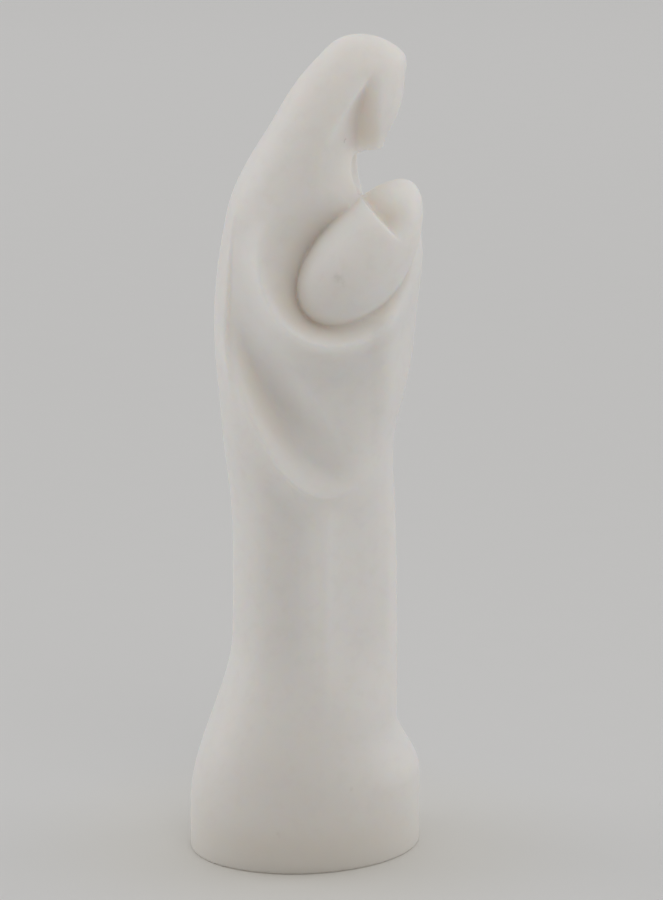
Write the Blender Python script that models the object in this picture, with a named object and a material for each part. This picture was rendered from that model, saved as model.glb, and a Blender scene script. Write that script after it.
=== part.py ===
"""Alabaster madonna and child, carved from one block.

A hooded mother bows her head over a swaddled child, who lies in the crook of her arm.
+Z is up, the figure's front faces -Y, and the origin is at the centre of the foot's underside.
"""

import math

import bmesh
import bpy
import numpy as np
from mathutils import Vector

# Driving sizes, in metres.
HEIGHT = 0.240
FOOT_WIDTH = 0.068
FOOT_DEPTH = 0.065
CHILD_LENGTH = 0.0479
CHILD_WIDTH = 0.0260
CHILD_DEPTH = 0.0270

# Everything below is drawn in millimetres for a figure 240 mm tall, and follows HEIGHT.
DRAWN_HEIGHT = 240.0
MM = HEIGHT / DRAWN_HEIGHT
NEARLY_ZERO = 1e-6

# How finely the masses are laid out, how evenly they are joined into one skin, and how many
# triangles the finished solid keeps.
RING_STEP_SKIRT = 3.0
RING_STEP_FIGURE = 1.25
SKIRT_TOP = 95.0
FRONT_SEGMENTS = 96
BACK_SEGMENTS = 32
CHILD_SEGMENTS = 72
CHILD_RINGS = 52
SKIN_GRAIN = 0.6
TRIANGLES = 9600

# The mother's block before carving. Each row is one level section:
# height, left edge, right edge, depth in front of the axis, depth behind it.
SECTIONS = (
    (-4.0, -21.2, 27.2, 20.4, 20.5),
    (40.0, -21.2, 27.2, 20.4, 20.5),
    (75.0, -21.1, 27.1, 20.4, 20.5),
    (95.0, -21.0, 26.7, 20.6, 20.6),
    (109.0, -21.8, 26.1, 21.2, 21.0),
    (122.0, -23.4, 25.9, 22.8, 22.0),
    (132.0, -24.2, 27.7, 24.3, 22.8),
    (140.0, -24.9, 29.7, 25.3, 23.3),
    (152.0, -25.8, 31.6, 26.0, 23.8),
    (166.0, -25.6, 33.0, 25.2, 23.4),
    (177.0, -24.4, 34.0, 23.2, 22.4),
    (184.5, -23.1, 33.1, 21.6, 21.2),
    (191.0, -21.8, 30.0, 20.4, 20.2),
    (201.5, -17.6, 23.4, 18.6, 18.6),
    (208.6, -13.5, 22.7, 17.3, 17.4),
    (214.4, -9.8, 25.3, 16.2, 16.5),
    (222.0, -5.3, 28.0, 14.6, 15.0),
    (229.0, -0.4, 28.8, 12.2, 12.6),
    (234.0, 4.2, 28.6, 9.6, 10.0),
    (237.6, 7.9, 24.5, 6.4, 6.8),
    (240.0, 15.8, 15.8, 0.0, 0.0),
)
# Her right side stands further forward than her left, by this share of the distance across.
TURN = 0.087
# All carving fades out over the outermost part of the front, as a share of its depth.
EDGE_FADE = 0.3

# The bell of the skirt: between these heights it widens from the column to the foot.
FLARE_LEFT = (14.0, 67.0)
FLARE_RIGHT = (22.0, 39.0)
FLARE_FRONT = (12.0, 70.0)
# In front and behind, the foot draws in again below this height, by this much.
UNDERCUT_TOP = 17.0
UNDERCUT = 2.8

# The child: an egg on a leaning axis, broad at the feet and narrow at the head.
CHILD_CENTRE = (16.3, -15.0, 180.6)
CHILD_LEAN = math.radians(36.8)
CHILD_TIP_BACK = 1.5
CHILD_TAPER = 0.16
CHILD_BEND = 1.3

# The edge of the swaddling runs across the egg between two places (x, z). Beyond it lies the face.
SWADDLE_FROM = (16.0, 196.2)
SWADDLE_TO = (27.8, 184.0)
SWADDLE_DEPTH = 4.4
SWADDLE_STEP = 0.3
SWADDLE_RUN = 8.0
SWADDLE_FADE = 0.5
SWADDLE_RUN_ROUND = 3.0

# The round hollow that the child lies in, rimmed by the mother's arm.
BOWL_X = 9.5
BOWL_Z = 178.0
BOWL_SHORT_OF_CHILD = 1.35
BOWL_RADIUS = CHILD_LENGTH / MM / 2.0 - BOWL_SHORT_OF_CHILD
# Where the bowl meets the child: degrees round the child, counted anticlockwise from its head as
# negative, how far in front of its deepest the floor lies there, and how steeply it is reached.
BOWL_BEHIND_CHILD = 1.6
BOWL_ROUND = (
    (-300.0, 7.2, 1.0),
    (-250.0, 8.0, 1.0),
    (-210.0, 7.8, 1.1),
    (-190.0, 6.2, 1.4),
    (-175.0, 2.4, 1.7),
    (-150.0, -0.4, 1.5),
    (-120.0, -0.4, 1.4),
    (-85.0, 2.2, 1.6),
    (-60.0, 4.8, 2.0),
    (-30.0, 6.0, 2.2),
    (60.0, 6.4, 1.6),
)
ARM_HEIGHT = 2.0
ARM_WIDTH = 5.5
ARM_TOP = 200.0
ARM_TOP_RUN = 30.0
ELBOW_HEIGHT = 1.8
ELBOW_X = 10.0
ELBOW_RUN = 14.0
ELBOW_Z = 169.0
ELBOW_REACH = 26.0

# The hem of the mantle hangs in front as a parabola, with a lip that stands off the skirt.
HEM_X = 7.3
HEM_LOW = 109.2
HEM_CURVE = 0.042
HEM_STEP = 0.9
HEM_LIP = 0.9
HEM_LIP_RUN = 5.0
HEM_LOSS = 0.7
HEM_RIGHT = 2.0
HEM_FADE_RIGHT = 22.0
HEM_LEFT = -15.0
HEM_FADE_LEFT = 9.0

# Between arm and hem the mantle is scooped out to two flat facets, which meet in a soft ridge.
SCOOP_FLOOR = -20.8
SCOOP_MIDDLE = (-0.4, 140.0)
SCOOP_SLOPE_LEFT = -0.30
SCOOP_SLOPE_RIGHT = 0.05
SCOOP_RIDGE_ROUNDING = 1.0
SCOOP_LEAN = -0.06
SCOOP_RIGHT = 30.0
SCOOP_TOP = 180.0
SCOOP_OFF_RIM = 0.5
# How far each side of the scoop takes to fall to its floor.
SCOOP_FALL_RIM = 13.0
SCOOP_FALL_HEM = 9.5
SCOOP_FALL_BORDER = 5.0
SCOOP_FALL_RIGHT = 8.0
SCOOP_FALL_TOP = 20.0
SCOOP_ROUNDING = 1.6
SIDE_RIDGE_X = 25.5
SIDE_RIDGE_WIDTH = 7.0
SIDE_RIDGE_HEIGHT = 2.4
SIDE_RIDGE_RUN_IN = 10.0
SIDE_RIDGE_RUN_OUT = 25.0
# A slanting valley runs down through the left facet: height, x of its floor, depth.
VALLEY = (
    (112.0, 4.0, 0.0),
    (121.0, 0.6, 2.6),
    (129.5, -3.0, 5.0),
    (137.0, -7.2, 5.4),
    (148.0, -13.8, 4.9),
    (155.0, -17.2, 4.4),
    (168.0, -19.4, 2.4),
    (190.0, -19.8, 0.0),
)
VALLEY_LEFT = 11.0
VALLEY_RIGHT = 12.5

# A long, shallow fold runs down the front of the skirt.
FOLD_X = -4.0
FOLD_DEPTH = 2.9
FOLD_WIDTH = 11.0
FOLD_HEIGHTS = (24.0, 80.0)
FOLD_START = 9.0
# Beside the fold the skirt is cut to a flat facet: where it starts and ends across, how deep it
# cuts into the round of the skirt in its middle and at its far side, and how far the soft ridge
# between fold and facet stands out.
FACET_FROM = 7.0
FACET_TO = 21.5
FACET_DEPTH = 1.35
FACET_FAR_DEPTH = 2.2
FACET_FAR_RUN = 6.0
FACET_RIDGE = 0.9
FACET_RIDGE_RUN = 9.0
FACET_ROUNDING = 1.2
FACET_HEIGHTS = (42.0, 64.0)
FACET_START = 7.0

# The mantle's left border is a ridge: height, x of the ridge, depth that falls away inside it.
BORDER = (
    (134.0, -20.7, 0.0),
    (144.4, -21.8, 1.0),
    (153.6, -22.7, 1.5),
    (168.6, -22.1, 1.4),
    (181.6, -21.3, 1.0),
    (198.0, -18.2, 0.0),
)
BORDER_FALL = 1.4
BORDER_RUN = 10.0

# The veil's edge beside the mother's face: height, x of the edge, width of the fall inside it,
# depth of the hollow. From the fall the face rises evenly to the cheek.
VEIL_EDGE = (
    (192.0, 3.0, 13.0, 0.0),
    (198.0, 3.0, 13.0, 1.2),
    (203.0, 3.4, 12.6, 3.4),
    (208.5, 4.6, 12.0, 6.4),
    (215.1, 8.0, 8.6, 6.8),
    (220.2, 11.4, 5.2, 5.6),
    (224.6, 14.6, 3.0, 3.6),
    (228.6, 17.4, 1.8, 1.4),
    (231.5, 19.6, 1.0, 0.0),
)
CHEEK = 21.0
CHEEK_ROUNDING = 0.8
CHEEK_RUN_LEAST = 4.0
CHEEK_RISE_MOST = 1.5
CHEEK_STEEPNESS = 0.64
BACK_OF_FACE = 0.55

# The gap between chin and child, cut right through. Each row is a place on its outline, from the
# chin's underside round the wall to the shoulder: x and z in front, x and z behind, and how much
# the stone bulges into the gap there halfway through.
GAP_OUTLINE = (
    (60.0, 209.3, 60.0, 209.3, -1.0),
    (20.0, 208.8, 20.8, 208.9, -1.2),
    (16.0, 208.4, 17.4, 208.6, -1.2),
    (13.8, 207.2, 16.2, 207.4, -0.8),
    (12.9, 204.2, 15.6, 204.2, 0.0),
    (13.2, 202.0, 15.5, 201.8, 0.0),
    (14.1, 199.4, 15.6, 198.8, 0.0),
    (16.2, 194.8, 16.6, 193.2, 0.6),
    (19.4, 190.0, 19.4, 187.4, 1.6),
    (25.0, 186.2, 25.0, 182.8, 2.2),
    (34.0, 183.4, 34.0, 179.6, 2.4),
    (60.0, 181.0, 60.0, 177.0, 2.4),
)
GAP_FRONT = -16.0
GAP_BACK = 18.0
GAP_REACH = 60.0
GAP_SMOOTHNESS = 4
GAP_STATIONS = 9

ALABASTER = (0.80, 0.77, 0.71)
POLISH = 0.4


def ease(t):
    """0 below 0, 1 above 1, and a smooth S between."""
    t = np.clip(t, 0.0, 1.0)
    return t * t * (3.0 - 2.0 * t)


def spline(rows, at):
    """The natural cubic curve through rows of (place, value, ...), read at each place of at."""
    rows = np.array(rows, float)
    place, value = rows[:, 0], rows[:, 1:]
    at = np.clip(at, place[0], place[-1])
    gap = np.diff(place)
    slope = np.diff(value, axis=0) / gap[:, None]
    count = len(place)
    system = np.eye(count)
    right = np.zeros_like(value)
    for i in range(1, count - 1):
        system[i, i - 1 : i + 2] = gap[i - 1], 2.0 * (gap[i - 1] + gap[i]), gap[i]
        right[i] = 6.0 * (slope[i] - slope[i - 1])
    bend = np.linalg.solve(system, right)
    i = np.clip(np.searchsorted(place, at, side="right") - 1, 0, count - 2)
    a = ((place[i + 1] - at) / gap[i])[..., None]
    b = 1.0 - a
    curved = (a**3 - a) * bend[i] + (b**3 - b) * bend[i + 1]
    return a * value[i] + b * value[i + 1] + curved * gap[i][..., None] ** 2 / 6.0


def follow(rows, z):
    """The columns of a table of (height, value, ...) at height z, on a smooth curve."""
    return spline(rows, np.array(float(z)))


def on_child(x, z):
    """Where a place in the front view lies on the child: along the axis (-1 to 1), and across it."""
    cx, _, cz = CHILD_CENTRE
    along = (x - cx) * math.sin(CHILD_LEAN) + (z - cz) * math.cos(CHILD_LEAN)
    across = (x - cx) * math.cos(CHILD_LEAN) - (z - cz) * math.sin(CHILD_LEAN)
    along = along / (CHILD_LENGTH / MM / 2.0)
    return along, across - child_bend(along)


def child_bend(along):
    """How far the child's axis bows out to the right and down."""
    return CHILD_BEND * (1.0 - np.clip(along, -1.0, 1.0) ** 2)


def child_middle(along):
    """The y of the child's middle plane, which leans back towards the head."""
    return CHILD_CENTRE[1] + CHILD_TIP_BACK * along


def off_child(x, z):
    """Distance in the front view from the child's outline, positive outside it."""
    along, across = on_child(x, z)
    half_length = CHILD_LENGTH / MM / 2.0
    half_width = CHILD_WIDTH / MM / 2.0 * (1.0 - CHILD_TAPER * np.clip(along, -1.0, 1.0))
    wide = across / half_width
    radius = np.hypot(along, wide) + NEARLY_ZERO
    steepness = np.hypot(along / half_length, wide / half_width) + NEARLY_ZERO
    return (radius - 1.0) * radius / steepness


def past_swaddle(x, z):
    """Distance beyond the swaddling's edge, and how far along that edge, from 0 to 1."""
    edge = Vector((SWADDLE_TO[0] - SWADDLE_FROM[0], SWADDLE_TO[1] - SWADDLE_FROM[1]))
    length = edge.length
    edge.normalize()
    dx, dz = x - SWADDLE_FROM[0], z - SWADDLE_FROM[1]
    return -dx * edge.y + dz * edge.x, (dx * edge.x + dz * edge.y) / length


def over_hem(x, z):
    """Distance above the hem's parabola, measured square to it."""
    rise = z - HEM_LOW - HEM_CURVE * (x - HEM_X) ** 2
    return rise / np.hypot(1.0, 2.0 * HEM_CURVE * (x - HEM_X))


def bowl_floor(x, z):
    """The y that the bowl reaches at the child's outline, and how steeply it gets there."""
    along, across = on_child(x, z)
    around = np.degrees(np.arctan2(across, along * CHILD_LENGTH / MM / 2.0))
    around = np.where(around > BOWL_ROUND[-1][0], around - 360.0, around)
    rise, power = np.moveaxis(spline(BOWL_ROUND, around), -1, 0)
    return child_middle(along) + BOWL_BEHIND_CHILD - rise, power


def arm_relief(x, z):
    """The rounded arm along the rim of the bowl, which fades where it turns up into the shoulder."""
    off_rim = np.hypot(x - BOWL_X, z - BOWL_Z) - BOWL_RADIUS
    roll = ease(1.0 - np.abs(off_rim) / ARM_WIDTH)
    elbow = ELBOW_HEIGHT * ease((x - ELBOW_X) / ELBOW_RUN) * ease(1.0 - np.abs(z - ELBOW_Z) / ELBOW_REACH)
    return (ARM_HEIGHT + elbow) * roll * ease((ARM_TOP - z) / ARM_TOP_RUN)


def hem_relief(x, z):
    """The lip of the mantle over the skirt, which dies away towards both sides."""
    above = over_hem(x, z)
    lip = HEM_LIP * ease(above / HEM_STEP) * np.exp(-np.maximum(above, 0.0) / HEM_LIP_RUN)
    fading_right = 1.0 - HEM_LOSS * ease((x - HEM_RIGHT) / HEM_FADE_RIGHT)
    return lip * fading_right * ease((x - HEM_LEFT) / HEM_FADE_LEFT)


def fold_relief(x, z):
    """The long fold of the skirt, which starts under the hem and runs out in the bell."""
    across = ease(1.0 - np.abs(x - FOLD_X) / FOLD_WIDTH)
    foot, top = FOLD_HEIGHTS
    return -FOLD_DEPTH * across * ease((z - foot) / (top - foot)) * ease(-over_hem(x, z) / FOLD_START)


def facet_relief(x, z):
    """The flat facet to the right of the fold, and the soft ridge that parts the two."""
    past = x - FACET_FROM
    past = (past + np.hypot(past, FACET_ROUNDING)) / 2.0
    share = np.clip(past / (FACET_TO - FACET_FROM), 0.0, 1.0)
    ridge = FACET_RIDGE * (1.0 - share) * ease(1.0 + (x - FACET_FROM) / FACET_RIDGE_RUN)
    far = FACET_FAR_DEPTH * share * ease(1.0 - (x - FACET_TO) / FACET_FAR_RUN)
    foot, top = FACET_HEIGHTS
    runs = ease((z - foot) / (top - foot)) * ease(-over_hem(x, z) / FACET_START)
    return (ridge - 4.0 * FACET_DEPTH * share * (1.0 - share) - far) * runs


def valley_relief(x, z):
    """The slanting valley of the mantle, inside its left border."""
    floor, depth = follow(VALLEY, z)
    side = x - floor
    return -depth * ease(1.0 + side / VALLEY_LEFT) * ease(1.0 - side / VALLEY_RIGHT)


def side_relief(x, z):
    """The fuller side of the mantle, to the right of the scoop."""
    ridge = ease(1.0 - np.abs(x - SIDE_RIDGE_X) / SIDE_RIDGE_WIDTH)
    runs = ease(over_hem(x, z) / SIDE_RIDGE_RUN_IN) * ease((SCOOP_TOP - z) / SIDE_RIDGE_RUN_OUT)
    return SIDE_RIDGE_HEIGHT * ridge * runs


def scoop(x, y, z):
    """The broad hollow of the mantle between arm, hem and borders: how far it cuts in to its facets."""
    off_rim = np.hypot(x - BOWL_X, z - BOWL_Z) - BOWL_RADIUS
    border, _ = follow(BORDER, z)
    share = ease((off_rim - SCOOP_OFF_RIM) / SCOOP_FALL_RIM) * ease(over_hem(x, z) / SCOOP_FALL_HEM)
    share *= ease((x - border) / SCOOP_FALL_BORDER) * ease((SCOOP_RIGHT - x) / SCOOP_FALL_RIGHT)
    share *= ease((SCOOP_TOP - z) / SCOOP_FALL_TOP)
    ridge_x, middle_z = SCOOP_MIDDLE
    off_ridge = x - ridge_x
    facets = (SCOOP_SLOPE_RIGHT + SCOOP_SLOPE_LEFT) / 2.0 * off_ridge
    facets += (SCOOP_SLOPE_RIGHT - SCOOP_SLOPE_LEFT) / 2.0 * np.hypot(off_ridge, SCOOP_RIDGE_ROUNDING)
    floor = SCOOP_FLOOR + facets + SCOOP_LEAN * (z - middle_z)
    return (floor - y + np.hypot(floor - y, SCOOP_ROUNDING)) / 2.0 * share


def border_relief(x, z):
    """The mantle's left border: the cloth falls away inside it, so that it stands as a ridge."""
    edge, depth = follow(BORDER, z)
    inward = x - edge
    return -depth * ease(inward / BORDER_FALL) * ease(1.0 - (inward - BORDER_FALL) / BORDER_RUN)


def face_relief(x, z):
    """The hollow between the veil's edge and the cheek, which stays a soft ridge."""
    edge, fall, depth = follow(VEIL_EDGE, z)
    below_cheek = CHEEK - x
    rounded = (below_cheek + np.hypot(below_cheek, CHEEK_ROUNDING)) / 2.0
    rise = np.minimum(rounded / max(CHEEK - edge - fall, CHEEK_RUN_LEAST), CHEEK_RISE_MOST)
    rise **= CHEEK_STEEPNESS
    return -depth * ease((x - edge) / fall) * rise


def carve_front(x, y, z, frontness):
    """The front of the block after carving: every cut goes straight in from the front."""
    reliefs = (
        arm_relief,
        hem_relief,
        valley_relief,
        side_relief,
        border_relief,
        fold_relief,
        facet_relief,
        face_relief,
    )
    relief = sum(relief(x, z) for relief in reliefs)
    edge_fade = ease(frontness / EDGE_FADE)
    carved = y + (scoop(x, y, z) - relief) * edge_fade
    outside_child = np.maximum(off_child(x, z), 0.0)
    inside_rim = np.maximum(BOWL_RADIUS - np.hypot(x - BOWL_X, z - BOWL_Z), 0.0)
    floor, power = bowl_floor(x, z)
    sunk = (inside_rim / (inside_rim + outside_child + NEARLY_ZERO)) ** power * edge_fade
    return carved + (np.maximum(floor, carved) - carved) * sunk


def carve_back(x, y, z, backness):
    """The back of the block: plain, with a fainter hollow beside the far edge of the veil."""
    return y + BACK_OF_FACE * face_relief(x, z) * ease(backness / EDGE_FADE)


def flare(z, span):
    """How far the skirt has widened at a height: 1 at the foot, 0 above the bell."""
    return ease((span[1] - z) / (span[1] - span[0]))


def mother_sections():
    """The block's sections, closely spaced, and the crown where they close."""
    z, left, right, front, back = SECTIONS[-2]
    rows = np.array([*SECTIONS, (z, right, left, -front, -back)])
    strides = np.linalg.norm(np.diff(rows[:, :3], axis=0), axis=1)
    places = np.concatenate([[0.0], np.cumsum(strides)])
    table = np.column_stack([places, rows])
    crown = len(SECTIONS) - 1
    at = []
    for i in range(crown):
        step = RING_STEP_SKIRT if rows[i + 1, 0] <= SKIRT_TOP else RING_STEP_FIGURE
        at.append(np.linspace(places[i], places[i + 1], max(2, math.ceil(strides[i] / step)), endpoint=False))
    return spline(table, np.concatenate(at)), rows[crown]


def mother_rings():
    """Points of the carved mother, ring by ring from below the ground up, and the crown's point."""
    sections, crown = mother_sections()
    front_turns = np.linspace(0.0, math.pi, FRONT_SEGMENTS, endpoint=False)
    back_turns = np.linspace(math.pi, 2.0 * math.pi, BACK_SEGMENTS, endpoint=False)
    turns = np.concatenate([front_turns, back_turns])
    towards_front = np.sin(turns)
    half_foot = FOOT_WIDTH / MM / 2.0
    foot_depth = math.sqrt((FOOT_DEPTH / MM / 2.0) ** 2 - (TURN * half_foot) ** 2)
    rings = []
    for z, left, right, front, back in sections:
        left -= (half_foot + left) * flare(z, FLARE_LEFT)
        right += (half_foot - right) * flare(z, FLARE_RIGHT)
        front += (foot_depth - front) * flare(z, FLARE_FRONT)
        back += (foot_depth - back) * flare(z, FLARE_FRONT)
        undercut = UNDERCUT * max(0.0, 1.0 - z / UNDERCUT_TOP) ** 2
        front -= undercut
        back -= undercut
        middle = (left + right) / 2.0
        x = middle + (right - left) / 2.0 * np.cos(turns)
        carved_front = carve_front(x, -front * towards_front, z, towards_front)
        carved_back = carve_back(x, -back * towards_front, z, -towards_front)
        y = np.where(towards_front > 0.0, carved_front, carved_back) + TURN * (x - middle)
        rings.append(np.column_stack([x, y, np.full_like(x, z)]))
    return rings, (crown[1], 0.0, crown[0])


def alabaster():
    """The stone: a warm white, polished to a satin."""
    material = bpy.data.materials.new("alabaster")
    material.use_nodes = True
    shader = material.node_tree.nodes["Principled BSDF"]
    shader.inputs["Base Color"].default_value = (*ALABASTER, 1.0)
    shader.inputs["Roughness"].default_value = POLISH
    shader.inputs["Metallic"].default_value = 0.0
    return material


def add_object(name, shape, helper=False):
    """An object made of a bmesh drawn in millimetres. A helper only shapes another object."""
    bmesh.ops.scale(shape, vec=(MM, MM, MM), verts=shape.verts)
    bmesh.ops.recalc_face_normals(shape, faces=shape.faces)
    mesh = bpy.data.meshes.new(name)
    shape.to_mesh(mesh)
    shape.free()
    thing = bpy.data.objects.new(name, mesh)
    bpy.context.scene.collection.objects.link(thing)
    if helper:
        thing.hide_render = True
        thing.display_type = "WIRE"
    return thing


def make_mother():
    """The mother, lofted ring by ring and closed at the crown and below the ground."""
    rings, crown = mother_rings()
    shape = bmesh.new()
    loops = [[shape.verts.new(place) for place in ring] for ring in rings]
    top = shape.verts.new(crown)
    count = len(loops[0])
    for lower, upper in zip(loops, loops[1:]):
        for i in range(count):
            j = (i + 1) % count
            shape.faces.new((lower[i], lower[j], upper[j], upper[i]))
    for i in range(count):
        shape.faces.new((loops[-1][i], loops[-1][(i + 1) % count], top))
    shape.faces.new(reversed(loops[0]))
    return add_object("madonna_and_child", shape)


def make_child():
    """The swaddled child: a sphere drawn out to an egg, with the face sunk behind the swaddling."""
    shape = bmesh.new()
    bmesh.ops.create_uvsphere(shape, u_segments=CHILD_SEGMENTS, v_segments=CHILD_RINGS, radius=1.0)
    half_length = CHILD_LENGTH / MM / 2.0
    half_width = CHILD_WIDTH / MM / 2.0
    half_depth = CHILD_DEPTH / MM / 2.0
    axis = Vector((math.sin(CHILD_LEAN), 0.0, math.cos(CHILD_LEAN)))
    across = Vector((math.cos(CHILD_LEAN), 0.0, -math.sin(CHILD_LEAN)))
    for vertex in shape.verts:
        a, b, c = vertex.co
        girth = 1.0 - CHILD_TAPER * c
        place = Vector(CHILD_CENTRE) + axis * (c * half_length)
        place += across * (a * girth * half_width + child_bend(c))
        place.y = child_middle(c) + b * girth * half_depth
        vertex.co = place
    edge = Vector((SWADDLE_TO[0] - SWADDLE_FROM[0], 0.0, SWADDLE_TO[1] - SWADDLE_FROM[1])).normalized()
    beyond = Vector((-edge.z, 0.0, edge.x))
    corner = Vector((SWADDLE_FROM[0], 0.0, SWADDLE_FROM[1]))
    for step in (0.0, SWADDLE_STEP):
        everything = [*shape.verts, *shape.edges, *shape.faces]
        bmesh.ops.bisect_plane(shape, geom=everything, plane_co=corner + beyond * step, plane_no=beyond)
    for vertex in shape.verts:
        x, y, z = vertex.co
        past, along_edge = past_swaddle(x, z)
        in_front = ease((child_middle(on_child(x, z)[0]) - y) / SWADDLE_RUN_ROUND)
        sunk = ease(past / SWADDLE_STEP) * ease(1.0 - (past - SWADDLE_STEP) / SWADDLE_RUN)
        vertex.co.y += SWADDLE_DEPTH * sunk * ease((1.0 - along_edge) / SWADDLE_FADE) * in_front
    return add_object("child_mass", shape, helper=True)


def gap_outline(outline, y):
    """The gap's outline at one depth through the stone."""
    through = min(1.0, max(0.0, (y - GAP_FRONT) / (GAP_BACK - GAP_FRONT)))
    x = outline[:, 0] + (outline[:, 2] - outline[:, 0]) * through
    z = outline[:, 1] + (outline[:, 3] - outline[:, 1]) * through
    halfway = 4.0 * through * (1.0 - through)
    return np.column_stack([x, np.full_like(x, y), z + outline[:, 4] * halfway])


def make_gap_cutter():
    """The cut between chin and child, drawn through the stone from front to back."""
    rows = [(float(i), *row) for i, row in enumerate(GAP_OUTLINE)]
    outline = spline(rows, np.linspace(0.0, len(rows) - 1.0, GAP_SMOOTHNESS * (len(rows) - 1) + 1))
    stations = [-GAP_REACH, *np.linspace(GAP_FRONT, GAP_BACK, GAP_STATIONS), GAP_REACH]
    shape = bmesh.new()
    loops = [[shape.verts.new(place) for place in gap_outline(outline, y)] for y in stations]
    count = len(outline)
    for near, far in zip(loops, loops[1:]):
        for i in range(count):
            j = (i + 1) % count
            shape.faces.new((near[i], near[j], far[j], far[i]))
    shape.faces.new(loops[0])
    shape.faces.new(reversed(loops[-1]))
    return add_object("gap_cutter", shape, helper=True)


def make_ground_cutter():
    """Everything below the ground, so that the foot stands on one true plane."""
    wide, deep = 2.0 * FOOT_WIDTH / MM, 2.0 * FOOT_DEPTH / MM
    thick = 20.0
    shape = bmesh.new()
    bmesh.ops.create_cube(shape, size=1.0)
    bmesh.ops.scale(shape, vec=(wide, deep, thick), verts=shape.verts)
    bmesh.ops.translate(shape, vec=(0.0, 0.0, -thick / 2.0), verts=shape.verts)
    return add_object("ground_cutter", shape, helper=True)


def add_boolean(thing, other, operation):
    """One Boolean step on thing's stack."""
    step = thing.modifiers.new(f"{operation.lower()} {other.name}", "BOOLEAN")
    step.operation = operation
    step.object = other
    step.solver = "EXACT"


def count_triangles(thing):
    """Triangles in thing as its modifiers leave it."""
    shaped = thing.evaluated_get(bpy.context.evaluated_depsgraph_get())
    mesh = shaped.to_mesh()
    mesh.calc_loop_triangles()
    count = len(mesh.loop_triangles)
    shaped.to_mesh_clear()
    return count


def main():
    for leftover in list(bpy.data.objects):
        bpy.data.objects.remove(leftover)
    statue = make_mother()
    statue.data.materials.append(alabaster())
    add_boolean(statue, make_gap_cutter(), "DIFFERENCE")
    add_boolean(statue, make_child(), "UNION")
    skin = statue.modifiers.new("one even skin", "REMESH")
    skin.mode = "VOXEL"
    skin.voxel_size = SKIN_GRAIN * MM
    fewer = statue.modifiers.new("fewer triangles", "DECIMATE")
    fewer.ratio = 1.0
    fewer.ratio = min(1.0, TRIANGLES / count_triangles(statue))
    add_boolean(statue, make_ground_cutter(), "DIFFERENCE")
    statue.data.shade_smooth()


main()
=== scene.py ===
"""Alabaster madonna and child on a pale sweep, in soft studio light.

The statue is drawn again here on a fine grid, from the same sizes and carving as the solid it stands
for, so that its creases, lips and hollows come out as smooth as polished stone.
+Z is up, the figure's front faces -Y, and the origin is at the centre of the foot's underside.
"""

import math

import bmesh
import bpy
import numpy as np
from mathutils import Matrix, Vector

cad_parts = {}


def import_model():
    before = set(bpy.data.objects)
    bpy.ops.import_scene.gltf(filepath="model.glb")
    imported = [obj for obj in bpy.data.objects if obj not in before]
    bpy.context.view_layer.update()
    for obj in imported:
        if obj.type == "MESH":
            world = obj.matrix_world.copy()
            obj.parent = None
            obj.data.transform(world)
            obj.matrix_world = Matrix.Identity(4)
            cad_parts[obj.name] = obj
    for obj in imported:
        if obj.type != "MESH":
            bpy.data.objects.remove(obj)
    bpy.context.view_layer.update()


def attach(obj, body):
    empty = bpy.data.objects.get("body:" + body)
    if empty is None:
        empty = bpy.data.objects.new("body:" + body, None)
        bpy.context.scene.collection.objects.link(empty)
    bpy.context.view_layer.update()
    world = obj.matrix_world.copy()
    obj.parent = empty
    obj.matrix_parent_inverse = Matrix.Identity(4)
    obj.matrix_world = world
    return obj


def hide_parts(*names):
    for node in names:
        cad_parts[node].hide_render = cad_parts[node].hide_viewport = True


NODE = "madonna_and_child"

# Driving sizes, in metres.
HEIGHT = 0.240
FOOT_WIDTH = 0.068
FOOT_DEPTH = 0.065
CHILD_LENGTH = 0.0479
CHILD_WIDTH = 0.0260
CHILD_DEPTH = 0.0270

# Everything below is drawn in millimetres for a figure 240 mm tall, and follows HEIGHT.
DRAWN_HEIGHT = 240.0
MM = HEIGHT / DRAWN_HEIGHT
NEARLY_ZERO = 1e-6

# How finely the masses are laid out: millimetres between rings, and steps round.
RING_STEP_SKIRT = 1.2
RING_STEP_FIGURE = 0.65
SKIRT_TOP = 95.0
FRONT_SEGMENTS = 200
BACK_SEGMENTS = 70
CHILD_SEGMENTS = 180
CHILD_RINGS = 130
# The masses are joined into one even skin: its grain, how often and how strongly it is softened,
# and about how many triangles it keeps. Creases sharper than the angle stay crisp.
SKIN_GRAIN = 0.45
SKIN_SOFTENING = 4
SOFTENING_STRENGTH = 0.5
TRIANGLES = 170000
SHARP_ANGLE = math.radians(30.0)
# The arris round the underside is rubbed off from this height down, and this far inwards.
ARRIS_HEIGHT = 0.5
ARRIS_DEPTH = 0.4
# How far down the cut below the ground reaches.
GROUND_DEPTH = 20.0

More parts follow.
